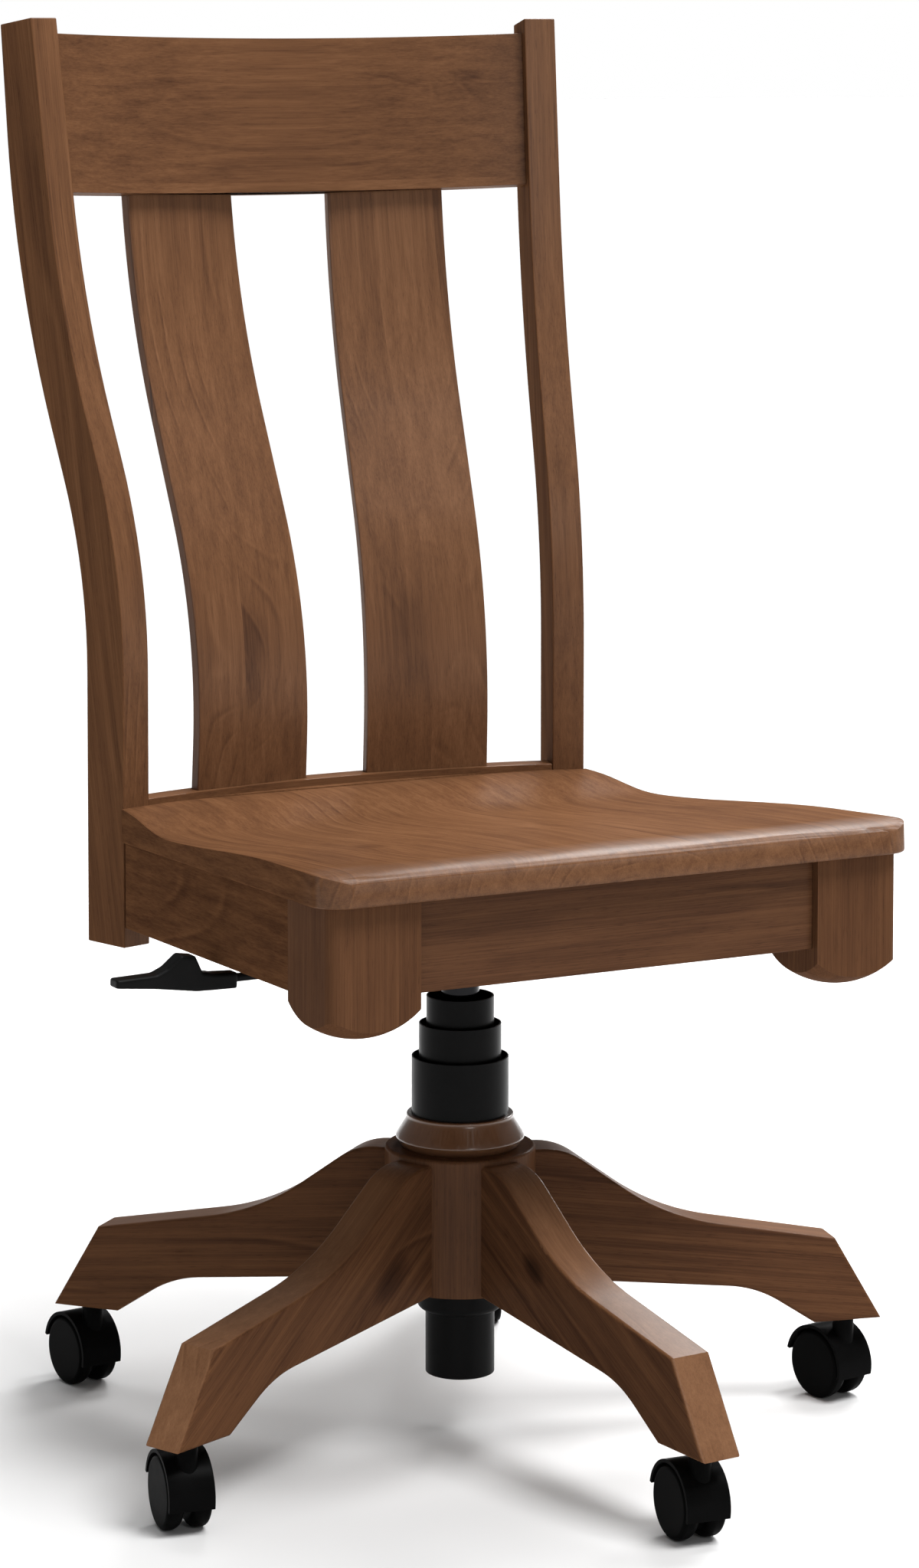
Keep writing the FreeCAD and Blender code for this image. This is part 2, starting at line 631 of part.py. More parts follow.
def front_post(name, side, above):
    """A short stub of a leg with a domed foot."""
    height = S.seat_under - S.front_post_corner + S.trim_spare
    sag = dome_sag()
    low = plain(S.front_post_corner) - sag
    left = side * plain(S.front_post_half) - (plain(S.front_post_width) if side > 0 else 0)
    stock = box(name + "_stock", S.front_post_width, S.front_post_depth, height,
                Placement(Vector(left, -plain(S.front_post_front), low), Rotation()))
    middle = Vector(left + plain(S.front_post_width) / 2,
                    -plain(S.front_post_front) + plain(S.front_post_depth) / 2,
                    low + plain(S.front_post_dome))
    ball = doc.addObject("Part::Sphere", name + "_ball")
    bind(ball, "Radius", S.front_post_dome)
    ball.Placement = Placement(middle, Rotation())
    barrel = cylinder(name + "_barrel", S.front_post_dome, height, Placement(middle, Rotation()))
    domed = common(name + "_domed", stock, fuse(name + "_capsule", [ball, barrel]))
    trimmed = cut(name + "_trimmed", domed, above)
    doc.recompute()
    rounded = doc.addObject("Part::Fillet", name)
    rounded.Base = trimmed
    corner_x = side * plain(S.front_post_half)
    chosen = []
    for number, edge in enumerate(trimmed.Shape.Edges, 1):
        mid = edge.valueAt((edge.FirstParameter + edge.LastParameter) / 2)
        upright = edge.BoundBox.XLength < 0.01 and edge.BoundBox.YLength < 0.01
        if upright and abs(mid.x - corner_x) < 0.1 and abs(mid.y + plain(S.front_post_front)) < 0.1:
            chosen.append((number, plain(S.front_post_round), plain(S.front_post_round)))
    rounded.Edges = chosen
    return keep(rounded, name)


def dome_sag():
    """How far the domed foot hangs below its four corners."""
    half = math.hypot(plain(S.front_post_width), plain(S.front_post_depth)) / 2
    return plain(S.front_post_dome) - math.sqrt(plain(S.front_post_dome) ** 2 - half ** 2)


def seat_surface():
    """The room above the scooped seat, as a closed block that is cut from the blank."""
    half = plain(S.seat_front_half + S.scoop_margin)
    rear = seat_rear_reach() + plain(S.scoop_margin)
    front = plain(S.seat_front + S.scoop_margin)
    columns, rows = 17, 19
    poles = []
    for i in range(columns):
        x = -half + 2 * half * i / (columns - 1)
        line = []
        for j in range(rows):
            y = -front + (front + rear) * j / (rows - 1)
            line.append(Vector(x, y, seat_height(x, y)))
        poles.append(line)
    surface = Part.BSplineSurface()
    surface.interpolate(poles)
    block = surface.toShape().extrude(Vector(0, 0, plain(S.seat_blank) * 3))
    room = doc.addObject("Part::Feature", "seat_room")
    room.Shape = block
    room.Placement = SEAT_PLACE
    return room


def smooth(t):
    """Rises gently from 0 to 1."""
    t = min(max(t, 0.0), 1.0)
    return t * t * (3 - 2 * t)


def seat_height(x, y):
    """Height of the seat's top above its flat underside."""
    rear = seat_rear_reach()
    low_at = rear - plain(S.dish_rear_slope)
    front_at = plain(S.dish_front_slope - S.seat_front)
    rear_rise = plain(S.seat_rear_edge) - plain(S.dish_low)
    if y > low_at:
        height = plain(S.dish_low) + rear_rise * smooth((y - low_at) / (rear - low_at))
    else:
        share = smooth((low_at - y) / (low_at - front_at))
        height = plain(S.dish_low) + (plain(S.dish_front) - plain(S.dish_low)) * share
    across = (1 - math.cos(2 * math.pi * min(abs(x) / plain(S.seat_front_half), 1.0))) / 2
    fade_front = smooth((y + plain(S.seat_front)) / plain(S.lobe_front_fade))
    fade_rear = smooth((rear - y) / plain(S.lobe_rear_fade))
    height -= plain(S.lobe_depth) * across * fade_front * fade_rear
    nose = (-y - plain(S.seat_front) + plain(S.nose_reach)) / plain(S.nose_reach)
    if nose > 0:
        drop = plain(S.dish_front) - plain(S.nose_edge)
        height -= drop * (1 - math.sqrt(max(0.0, 1 - min(nose, 1.0) ** 2)))
    return height


def seat_rear_reach():
    """How far back the seat's rear corners stand, against the fronts of the back posts."""
    turn = math.radians(plain(S.post_turn))
    return plain(S.post_front) - plain(S.post_thickness) * math.sin(turn)


def seat():
    """The glued-up seat: a tapered blank with a bowed rear edge, then scooped from above."""
    body = new_body("seat_blank")
    turn = math.radians(plain(S.post_turn))
    rear = S.post_front - S.post_thickness * math.sin(turn)
    tail = rear + S.seat_tail
    corners = [(-S.seat_front_half, -S.seat_front), (S.seat_front_half, -S.seat_front),
               (S.seat_rear_half, rear), (S.post_half, tail), (-S.post_half, tail),
               (-S.seat_rear_half, rear)]
    feature = pad(body, outline(body, "XY_Plane", corners), S.seat_blank)

    def front_corner(edge, middle):
        upright = abs(edge.BoundBox.ZLength - plain(S.seat_blank)) < 0.01
        return upright and abs(middle.y + plain(S.seat_front)) < 0.5
    feature = fillet(body, feature, S.seat_corner_round, front_corner)

    def lower_rim(edge, middle):
        return abs(middle.z) < 0.01 and middle.y < plain(rear) - 1
    fillet(body, feature, S.seat_lower_round, lower_rim)
    body.Placement = SEAT_PLACE
    return body


def seat_frame():
    above = above_seat_plane()
    left_back = back_post("left_back_post", 1)
    right_back = back_post("right_back_post", -1)
    left_front = front_post("left_front_post", 1, above)
    right_front = front_post("right_front_post", -1, above)
    posts = fuse("all_posts", [left_back, right_back, left_front, right_front])

    # the front apron stands between the front posts, a little behind their faces
    inner = S.front_post_half - S.front_post_width
    front = new_body("front_apron")
    face = -(S.front_post_front - S.apron_setback)
    sketch = outline(front, "XY_Plane", [(-inner, face), (inner, face),
                                         (inner, face + S.apron_thickness),
                                         (-inner, face + S.apron_thickness)])
    pad(front, sketch, S.seat_under * OVERSIZE)
    finish_apron("front_apron", front, S.apron_height, above)

    turn = math.radians(plain(S.post_turn))
    rear_x = S.post_half + S.post_thickness * math.cos(turn) - S.side_apron_setback
    rear_y = S.post_front - S.post_thickness * math.sin(turn)
    front_y = -(S.front_post_front - S.front_post_depth)
    front_x = S.front_post_half - S.side_apron_setback
    slide = (front_x - rear_x) / (rear_y - front_y)
    for name, side in (("left_side_apron", 1), ("right_side_apron", -1)):
        body = new_body(name + "_body")
        long_y = S.post_front + S.apron_lap
        far_x = rear_x - slide * (long_y - rear_y)
        points = [(front_x * side, front_y), (far_x * side, long_y),
                  ((far_x - S.apron_thickness) * side, long_y),
                  ((front_x - S.apron_thickness) * side, front_y)]
        pad(body, outline(body, "XY_Plane", points), S.seat_under * OVERSIZE)
        trimmed = cut(name + "_fitted", body, posts)
        finish_apron(name, trimmed, S.apron_height, above)

    rear = new_body("rear_apron_body")
    near = S.rail_end_front + S.rear_apron_setback
    far = near + S.apron_thickness
    wide = S.post_half * OVERSIZE
    sketch = outline(rear, "XY_Plane", [(-wide, near), (wide, near), (wide, far), (-wide, far)])
    pad(rear, sketch, S.seat_under * OVERSIZE)
    wedge = between_posts()
    between = common("rear_apron_fitted", rear, wedge)
    finish_apron("rear_apron", between, S.rear_apron_height, above)

    corner_blocks(above)
    rail_room = back(wedge)

    room = seat_surface()
    blank = seat()
    scooped = cut("seat_scooped", blank, room)
    neighbours = fuse("seat_neighbours", [left_back, right_back, finished["lower_back_rail"],
                                          rail_room])
    keep(cut("seat", scooped, neighbours), "seat")


def finish_apron(name, base, height, above):
    """Trims an apron to the seat's underside, and to its own height below that."""
    below_place = SEAT_PLACE.multiply(Placement(
        Vector(-2 * plain(S.seat_front_half), -2 * plain(S.seat_front_half),
               -plain(height) - plain(S.seat_under) * 2), Rotation()))
    below = box(name + "_below", S.seat_front_half * 4, S.seat_front_half * 4, S.seat_under * 2,
                below_place)
    tools = fuse(name + "_trims", [above, below])
    keep(cut(name + "_trimmed", base, tools), name)


def corner_blocks(above):
    """Four glued blocks that brace the aprons' corners from inside."""
    inner_front = -(plain(S.front_post_front) - plain(S.front_post_depth))
    blocks = []
    for side in (1, -1):
        body = new_body("front_block_%s" % ("left" if side > 0 else "right"))
        inner_x = plain(S.front_post_half - S.front_post_width)
        face_y = -(plain(S.front_post_front) - plain(S.apron_setback) - plain(S.apron_thickness))
        points = [(inner_x * side, face_y), (inner_x * side, inner_front),
                  ((inner_x - plain(S.block_leg)) * side, face_y)]
        pad(body, outline(body, "XY_Plane", points), S.seat_under * OVERSIZE)
        blocks.append(body)
    trimmed = []
    for body in blocks:
        below = box(body.Name + "_below", S.seat_front_half * 4, S.seat_front_half * 4,
                    S.seat_under * 2, SEAT_PLACE.multiply(Placement(
                        Vector(-2 * plain(S.seat_front_half), -2 * plain(S.seat_front_half),
                               -plain(S.block_height) - plain(S.seat_under) * 2), Rotation())))
        trimmed.append(cut(body.Name + "_trimmed", body, fuse(body.Name + "_trims", [above, below])))
    keep(group("corner_blocks", trimmed), "corner_blocks")


def back(wedge):
    """Crest rail, lower rail and two slats, all following one bow.

    Gives back the room behind the lower rail's front, which the seat keeps out of.
    """
    lean = Rotation(Vector(1, 0, 0), -plain(S.crest_lean))
    pivot = Vector(0, plain(S.crest_end_front), plain(S.crest_low))
    crest_place = Placement(pivot, lean).multiply(Placement(-Vector(0, plain(S.crest_end_front), 0),
                                                            Rotation()))
    crest_band = bow_band("crest", S.crest_end_half, S.crest_end_front, S.crest_thickness,
                          S.crest_height, crest_place)
    crest_blank = common("crest_blank", crest_band, wedge)

    rail_end = S.post_half + (S.rail_end_front - S.post_front) * math.tan(
        math.radians(plain(S.post_turn)))
    rail_place = Placement(Vector(0, 0, plain(S.rail_top) - plain(S.rail_height)), Rotation())
    rail_band = bow_band("rail", rail_end, S.rail_end_front, S.rail_thickness, S.rail_height, rail_place)
    rail_blank = common("rail_blank", rail_band, wedge)

    radius = bow_radius(rail_end)
    centre_y = plain(S.rail_end_front) - radius * math.cos(math.radians(plain(S.bow_turn)))
    big = box("rail_room_block", S.seat_front_half * 4, S.seat_front_half, S.seat_under,
              Placement(Vector(-2 * plain(S.seat_front_half),
                               plain(S.post_front - S.rail_room_lead),
                               plain(S.seat_under - S.trim_spare)), Rotation()))
    inside = cylinder("rail_room_inside", radius, S.seat_under * 2,
                      Placement(Vector(0, centre_y, 0), Rotation()))
    rail_room = cut("rail_room", big, inside)

    slats = [slat("left_slat", 1), slat("right_slat", -1)]
    both = fuse("both_slats", slats)
    keep(cut("crest_rail", crest_blank, both), "crest_rail")
    keep(cut("lower_back_rail", rail_blank, both), "lower_back_rail")
    return rail_room


def slat(name, side):
    """A wide thin slat, bent to the posts' curve, tapered, and set into the two rails."""
    place = Placement(Vector(side * plain(S.slat_half), plain(S.slat_front), 0),
                      Rotation(Vector(0, 0, 1), -side * plain(S.slat_turn)))
    low = S.rail_top - S.slat_tenon
    thick = S.slat_thickness
    front_line = [(0.0, low), (S.slat_low_lean, S.slat_low_bend),
                  (S.slat_high_lean, S.slat_high_bend), (S.slat_top_lean, S.slat_top)]
    rear_line = [(lean + thick, height) for lean, height in front_line]
    bent = new_body(name + "_side")
    feature = pad(bent, outline(bent, "YZ_Plane", front_line + rear_line[::-1]),
                  S.slat_width * 1.1, midplane=True)
    bends = [(S.slat_low_lean, S.slat_low_bend, S.slat_low_radius, -thick),
             (S.slat_high_lean, S.slat_high_bend, S.slat_high_radius, thick)]
    for lean, height, radius, change in bends:
        feature = fillet(bent, feature, radius, at_corner(lean, height, "y", "z"))
        feature = fillet(bent, feature, radius + change, at_corner(lean + thick, height, "y", "z"))
    bent.Placement = place

    board = new_body(name + "_front")
    foot = S.slat_width / 2
    head = S.slat_width_top / 2
    sketch = outline(board, "XZ_Plane", [(-foot, low), (foot, low), (head, S.slat_top),
                                         (-head, S.slat_top)])
    pad(board, sketch, S.slat_top_lean * 4, midplane=True)
    board.Placement = place
    return keep(common(name, bent, board), name)


# Seat mechanism and lever

def mechanism():
    plate_place = SEAT_PLACE.multiply(Placement(
        Vector(-plain(S.plate_width) / 2, -plain(S.plate_length) / 2, -plain(S.plate_thickness)),
        Rotation()))
    plate = box("plate_blank", S.plate_width, S.plate_length, S.plate_thickness, plate_place)
    screws = []
    for sx in (-1, 1):
        for sy in (-1, 1):
            x = sx * (plain(S.plate_width) / 2 - plain(S.screw_inset))
            y = sy * (plain(S.plate_length) / 2 - plain(S.screw_inset))
            screws.append(plate_screw("screw_%d%d" % (sx + 1, sy + 1), x, y))
    all_screws = keep(group("plate_screws", screws), "plate_screws")

    half = S.channel_half
    body = new_body("channel_body")
    wall = S.channel_wall
    low = S.channel_bottom
    high = S.seat_under + S.trim_spare
    points = [(-half, low), (half, low), (half, high), (half - wall, high),
              (half - wall, low + wall), (-(half - wall), low + wall), (-(half - wall), high),
              (-half, high)]
    pad(body, outline(body, "YZ_Plane", points), S.channel_length, midplane=True)
    above_plate = box("above_plate", S.seat_front_half * 4, S.seat_front_half * 4, S.seat_under,
                      SEAT_PLACE.multiply(Placement(
                          Vector(-2 * plain(S.seat_front_half), -2 * plain(S.seat_front_half),
                                 -plain(S.plate_thickness)), Rotation())))
    socket = cylinder("taper_socket_stock", S.socket_radius, S.socket_top - S.socket_bottom,
                      Placement(Vector(0, 0, plain(S.socket_bottom)), Rotation()))
    pin_reach = S.channel_half + S.screw_tip
    pin = cylinder("lever_pin_room", S.pin_radius + S.run_gap, pin_reach * 2, Placement(
        Vector(-plain(S.lever_pivot), -plain(pin_reach), plain(S.lever_pivot_height)), TURN_Y))
    keep(cut("mechanism_channel", body, fuse("channel_tools", [above_plate, socket, pin])),
         "mechanism_channel")
    keep(cut("seat_plate", plate, all_screws), "seat_plate")

    column_room = finished["inner_cylinder"]
    core = cylinder("taper_room", S.column_radius - S.taper_inset, S.socket_top, Placement())
    keep(cut("taper_socket", socket, fuse("taper_tools", [column_room, core])), "taper_socket")
    finished["seat"] = keep(cut("seat_drilled", finished["seat"], all_screws), "seat")


def plate_screw(name, x, y):
    """A pan-head wood screw, driven up through the plate into the seat."""
    body = new_body(name)
    under = -S.plate_thickness
    revolve(body, [(0, under - S.screw_head_height), (S.screw_head_radius, under - S.screw_head_height),
                   (S.screw_head_radius, under), (S.screw_radius, under),
                   (S.screw_radius, under + S.screw_length - S.screw_tip),
                   (0, under + S.screw_length)])
    body.Placement = SEAT_PLACE.multiply(Placement(Vector(x, y, 0), Rotation()))
    return body


def lever():
    """A bent rod on a cross pin: pulling its handle up presses the release button down."""
    radius = plain(S.lever_radius)
    press = plain(S.column_top + S.button_rise + S.lever_press_gap) + radius
    pivot = Vector(-plain(S.lever_pivot), 0, plain(S.lever_pivot_height))
    low = plain(S.lever_height)
    y = -plain(S.lever_y)
    handle_in = Vector(-plain(S.handle_inner), y, low)
    handle_end = Vector(-plain(S.handle_inner + S.handle_overlap), y, low)
    points = [handle_end, Vector(-plain(S.lever_bend), y, low),
              pivot - Vector(plain(S.lever_knee_reach), 0, plain(S.lever_knee_drop)), pivot,
              Vector(-plain(S.socket_radius + S.lever_press_lead), 0, press),
              Vector(plain(S.lever_press_past), 0, press)]
    pieces = []
    for index in range(len(points) - 1):
        way = points[index + 1] - points[index]
        rod = cylinder("lever_run_%d" % index, S.lever_radius, way.Length,
                       Placement(points[index], Rotation(Vector(0, 0, 1), way)))
        pieces.append(rod)
    for index, point in enumerate(points[1:-1]):
        ball = doc.addObject("Part::Sphere", "lever_joint_%d" % index)
        bind(ball, "Radius", S.lever_radius)
        ball.Placement = Placement(point, Rotation())
        pieces.append(ball)
    pin = cylinder("lever_pin", S.pin_radius, S.channel_half * 2, Placement(
        Vector(-plain(S.lever_pivot), -plain(S.channel_half), plain(S.lever_pivot_height)), TURN_Y))
    rod = keep(fuse("lever_rod", pieces + [pin]), "lever_rod")

    handle = lever_handle(handle_in)
    keep(cut("lever_handle", handle, rod), "lever_handle")


def lever_handle(root):
    """The moulded grip: a round sleeve, a flat tip and a raised thumb fin."""
    length = plain(S.handle_outer - S.handle_inner)
    profile = new_body("handle_side")
    points = HANDLE_TOP + [(length, HANDLE_TIP_HALF), (length, -HANDLE_TIP_HALF)] + HANDLE_UNDER
    feature = pad(profile, outline(profile, "XZ_Plane", points), S.handle_thickness, midplane=True)
    half = plain(S.handle_thickness) / 2

    def long_edge(edge, middle):
        return abs(abs(middle.y) - half) < 0.01
    fillet(profile, feature, S.handle_round, long_edge)
    rise = math.degrees(math.atan2(plain(S.lever_rise), length))
    profile.Placement = Placement(root, Rotation(Vector(0, 0, 1), 180).multiply(
        Rotation(Vector(0, 1, 0), -rise)))
    return profile


def check_and_write():
    """Stops on any failed object or bad shape, then writes one file for each sub-part."""
    doc.recompute()
    for item in doc.Objects:
        for flag in ("Invalid", "Error"):
            if flag in item.State:
                raise RuntimeError("%s is %s" % (item.Label, flag))
    for label, item in finished.items():
        if item.Shape.isNull() or not item.Shape.isValid() or not item.Shape.Solids:
            raise RuntimeError("%s has no good shape" % label)
    os.makedirs("parts", exist_ok=True)
    for label, item in finished.items():
        item.Shape.exportStep(os.path.join("parts", label + ".step"))
        print("%-22s %d solids %9.1f mm3" % (label, len(item.Shape.Solids), item.Shape.Volume))


gas_lift()
covers()
base()
seat_frame()
mechanism()
lever()
check_and_write()
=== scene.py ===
"""Looks of a wooden desk chair on a five-arm swivel base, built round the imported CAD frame.

Metres; Z is up, the sitter faces -Y. Boards are sawn to shape in the CAD part: here each gets
eased edges and a solid wood grain that runs along its own length.
"""

import json
import math

import bpy
from mathutils import Matrix, Vector


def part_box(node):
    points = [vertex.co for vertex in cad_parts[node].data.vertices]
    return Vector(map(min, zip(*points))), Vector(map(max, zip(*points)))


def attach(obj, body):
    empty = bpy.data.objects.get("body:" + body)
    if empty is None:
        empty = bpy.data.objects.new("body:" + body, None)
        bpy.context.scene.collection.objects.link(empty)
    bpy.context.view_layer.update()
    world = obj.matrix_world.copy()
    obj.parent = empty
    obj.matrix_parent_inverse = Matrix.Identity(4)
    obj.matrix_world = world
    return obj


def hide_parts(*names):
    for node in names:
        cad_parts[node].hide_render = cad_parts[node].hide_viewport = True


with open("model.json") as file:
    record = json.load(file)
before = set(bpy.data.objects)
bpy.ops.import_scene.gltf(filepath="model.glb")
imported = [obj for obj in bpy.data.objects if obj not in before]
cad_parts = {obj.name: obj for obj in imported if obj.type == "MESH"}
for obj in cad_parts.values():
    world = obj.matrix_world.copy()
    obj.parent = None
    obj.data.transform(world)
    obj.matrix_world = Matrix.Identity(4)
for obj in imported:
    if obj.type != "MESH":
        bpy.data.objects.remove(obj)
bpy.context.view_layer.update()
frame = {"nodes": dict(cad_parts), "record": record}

# Photograph's camera: a long lens a little above the seat, off the sitter's right knee
CAMERA_PLACE = Vector((-1.5289, -2.8166, 1.0095))
CAMERA_YAW = math.radians(27.941)
CAMERA_PITCH = math.radians(4.127)
CAMERA_LENS = 103.32
CAMERA_SHIFT = (0.02694, -0.27)

# Arms of the base, counted anticlockwise from the one at the sitter's left, and the back posts,
# which are turned a little about the vertical
ARM_COUNT = 5
BASE_TURN = math.radians(-13.3)
POST_TURN = math.radians(16.1)

# Knots of the back and the seat: place, size and depth of stain
CREST_KNOTS = [((-0.099, 0.262, 0.978), 0.012, 0.16), ((0.155, 0.268, 0.980), 0.009, 0.12)]
SLAT_KNOTS = {
    "right_slat": [((-0.076, 0.19, 0.560), 0.018, 0.17), ((-0.080, 0.19, 0.525), 0.012, 0.12)],
    "left_slat": [((0.062, 0.19, 0.566), 0.019, 0.07), ((0.064, 0.19, 0.524), 0.013, 0.07)]}
SEAT_KNOTS = [((-0.116, -0.084, 0.447), 0.013, 0.13), ((0.081, 0.081, 0.447), 0.016, 0.12)]

# Slope of each arm's grain, in degrees, and its knots: arm, reach, offset, height, size, depth.
# Each arm's painted light: the tone of its narrow faces, raised most on the front arms, and the
# painted shade that darkens its sawn sides.
GRAIN_SLOPES = [-8, -16, -6, -37, -30]
ARM_KNOTS = [(5, 0.118, -0.016, 0.147, 0.009, 0.28), (4, 0.097, 0.016, 0.134, 0.013, 0.22)]
ARM_HALF = 0.016
ARM_LIGHT_AND_SHADE = [(0.02, -0.18), (0.05, -0.15), (0.05, -0.14), (0.20, -0.31), (0.13, -0.27)]

# Brightness of the studio's air, from the horizon to overhead, and of its floor, near and far
SKY = [(0.0, 1.0), (0.03, 1.0), (0.08, 0.16), (0.55, 0.16), (0.85, 0.50)]
FLOOR_SIZE = 120
FLOOR_NEAR = 0.76
FLOOR_FAR = 0.93
FLOOR_FADE = (0.9, 3.2)

# The key light comes from a wide patch of sky; each softbox has a place, target, size and power
SUN_WAY = (0.42, -0.95, 1.85)
SUN_POWER = 2.9
SUN_WIDTH = math.radians(24)
SOFTBOXES = [("front_softbox", (-0.4, -3.6, 1.9), (0, 0, 0.6), 0.7, 12),
             ("high_softbox", (1.3, 0.15, 2.5), (0, -0.2, 0.4), 0.7, 30),
             ("top_softbox", (-0.1, 0.7, 2.8), (0, -0.2, 0.45), 0.8, 12),
             ("nose_softbox", (1.15, 1.4, 1.65), (0, -0.24, 0.44), 0.7, 24),
             ("rear_softbox", (2.3, 1.3, 1.3), (0, 0, 0.4), 0.6, 20)]

# How far the saw marks and edges are eased, by kind of piece
CRISP_EDGE = 0.0009
EASED_EDGE = 0.0016
SEAT_EDGE = 0.0026
PLASTIC_EDGE = 0.0007
COLLAR_EDGE = 0.0006
PAINTED_EDGE = 0.0005
TUBE_EDGE = 0.0004
METAL_EDGE = 0.0003
GRIP_SKIN = 0.0007
GRIP_ROUNDS = 16

# Wood figure: growth rings, fibres, pores and uneven stain. Lengths run along the grain.
RING_SPACING = 0.0094
LOG_DEPTH = 0.085
FIBRE = (0.075, 0.0010)
BAND = (0.17, 0.0030)
STREAK = (0.34, 0.0085)
FLECK = (0.011, 0.00055)
BLOTCH = (0.090, 0.028)

# How much each of these lightens or darkens the stain
PLAIN_LIGHT = 0.53
STRIP_SHARE = 0.13
FIBRE_SHARE = 0.34
BAND_SHARE = 0.22
STREAK_SHARE = 0.34
BLOTCH_SHARE = 0.18
LATE_SHARE = 0.10
PALE_SHARE = 0.11
FLECK_SHARE = 0.13
STAIN_SHARE = 0.05

# The lacquer is this much glossier than the wood under it, and this much is cut off sawn sides
COAT_FINER = 0.08
SAWN_DULL = 0.9
SAWN_BAND = (0.0016, 0.0002)

# The seat's rounded front edge, in the seat's own frame: its place, reach, heights and hollows.
# Its sides close in towards the back, and it is rubbed dull from behind that edge.
SEAT_PLACE = Matrix.Translation((0, 0, 0.4299)) @ Matrix.Rotation(math.radians(-3.12), 4, "X")
SEAT_FRONT = 0.243
SEAT_HALF = 0.232
SEAT_MIDDLE_HALF = 0.2119
SEAT_TAPER = 0.0910
SEAT_RUBBED = (-0.198, -0.165)
NOSE_REACH = 0.026
NOSE_TOP = 0.022
NOSE_EDGE = 0.015
NOSE_CUTS = [0.0003, 0.001, 0.0022, 0.004, 0.0065, 0.0095, 0.013, 0.017, 0.0215, 0.026]
LOBE_DEPTH = 0.0035
LOBE_FADE = 0.120

# Stain, from the darkest line to the palest fibre, in linear light
STAIN = [(0.0, (0.0195, 0.0096, 0.0060)), (0.30, (0.0660, 0.0288, 0.0145)),
         (0.55, (0.1330, 0.0600, 0.0275)), (0.80, (0.2000, 0.0970, 0.0470)),
         (1.0, (0.2900, 0.1500, 0.0780))]


class Value:
    """A number that a shader works out at each point, usable in Python sums."""

    def __init__(self, shader, socket):
        self.shader = shader
        self.socket = socket

    def maths(self, operation, *others):
        return self.shader.value("ShaderNodeMath", {"operation": operation}, self, *others)

    def __add__(self, other):
        return self.maths("ADD", other)

    def __radd__(self, other):
        return self.maths("ADD", other)

    def __sub__(self, other):
        return self.maths("SUBTRACT", other)

    def __rsub__(self, other):
        return self.shader.value("ShaderNodeMath", {"operation": "SUBTRACT"}, other, self)

    def __mul__(self, other):
        return self.maths("MULTIPLY", other)

    def __rmul__(self, other):
        return self.maths("MULTIPLY", other)

    def __truediv__(self, other):
        return self.maths("DIVIDE", other)

    def __pow__(self, other):
        return self.maths("POWER", other)

    def clamp(self):
        return self.maths("MAXIMUM", 0.0).maths("MINIMUM", 1.0)

    def between(self, low, high):
        """Rises smoothly from 0 at low to 1 at high."""
        return self.shader.value("ShaderNodeMapRange", {"interpolation_type": "SMOOTHSTEP"},
                                 self, low, high, 0.0, 1.0)


class Shader:
    """A material with one glossy surface, whose varying parts are written as sums."""

    def __init__(self, name, **surface):
        self.material = bpy.data.materials.new(name)
        self.material.use_nodes = True
        self.tree = self.material.node_tree
        self.surface = self.tree.nodes["Principled BSDF"]
        self.set(**surface)

    def node(self, kind, settings, *inputs):
        """Any node: its settings are set first, then its inputs in order."""
        made = self.tree.nodes.new(kind)
        for name, setting in settings.items():
            setattr(made, name, setting)
        for socket, given in zip(made.inputs, inputs):
            self.feed(socket, given)
        return made

    def value(self, kind, settings, *inputs):
        return Value(self, self.node(kind, settings, *inputs).outputs[0])

    def feed(self, socket, given):
        if given is None:
            return
        if isinstance(given, Value):
            self.tree.links.new(given.socket, socket)
        else:
            socket.default_value = given

    def set(self, **surface):
        """Sets the surface's sockets by name, with underscores for spaces."""
        for name, given in surface.items():
            self.feed(self.surface.inputs[name.replace("_", " ")], given)

    def place(self, turn=None, centre=(0, 0, 0)):
        """Coordinates on the piece: along, across and through, measured from a centre."""
        where = self.tree.nodes.new("ShaderNodeTexCoord").outputs["Object"]
        euler = (turn or Matrix.Identity(3)).to_euler()
        held = self.node("ShaderNodeMapping", {"vector_type": "TEXTURE"}, Value(self, where),
                         tuple(centre), tuple(euler))
        parts = self.node("ShaderNodeSeparateXYZ", {}, Value(self, held.outputs[0]))
        return [Value(self, socket) for socket in parts.outputs]

    def noise(self, x, y, z, detail=2.0, rough=0.55, twist=0.0):
        """Cloudy noise from 0 to 1 at the given coordinates."""
        spot = self.node("ShaderNodeCombineXYZ", {}, x, y, z)
        made = self.tree.nodes.new("ShaderNodeTexNoise")
        self.tree.links.new(spot.outputs[0], made.inputs["Vector"])
        made.inputs["Scale"].default_value = 1.0
        made.inputs["Detail"].default_value = detail
        made.inputs["Roughness"].default_value = rough
        made.inputs["Distortion"].default_value = twist
        return Value(self, made.outputs[0])

    def ramp(self, at, stops):
        made = self.node("ShaderNodeValToRGB", {}, at)
        band = made.color_ramp.elements
        while len(band) < len(stops):
            band.new(0.5)
        for stop, (position, colour) in zip(band, stops):
            stop.position = position
            stop.color = (*colour, 1.0)
        return Value(self, made.outputs[0])

    def bump(self, height, strength, depth):
        made = self.tree.nodes.new("ShaderNodeBump")
        made.inputs["Strength"].default_value = strength
        made.inputs["Distance"].default_value = depth
        self.feed(made.inputs["Height"], height)
        self.tree.links.new(made.outputs[0], self.surface.inputs["Normal"])


def grain_turn(along, face):
    """The turn of a board whose grain runs one way and whose wide face looks another way."""
    z = Vector(face).normalized()
    x = Vector(along)
    x = (x - z * x.dot(z)).normalized()
    y = z.cross(x)
    return Matrix((x, y, z)).transposed()


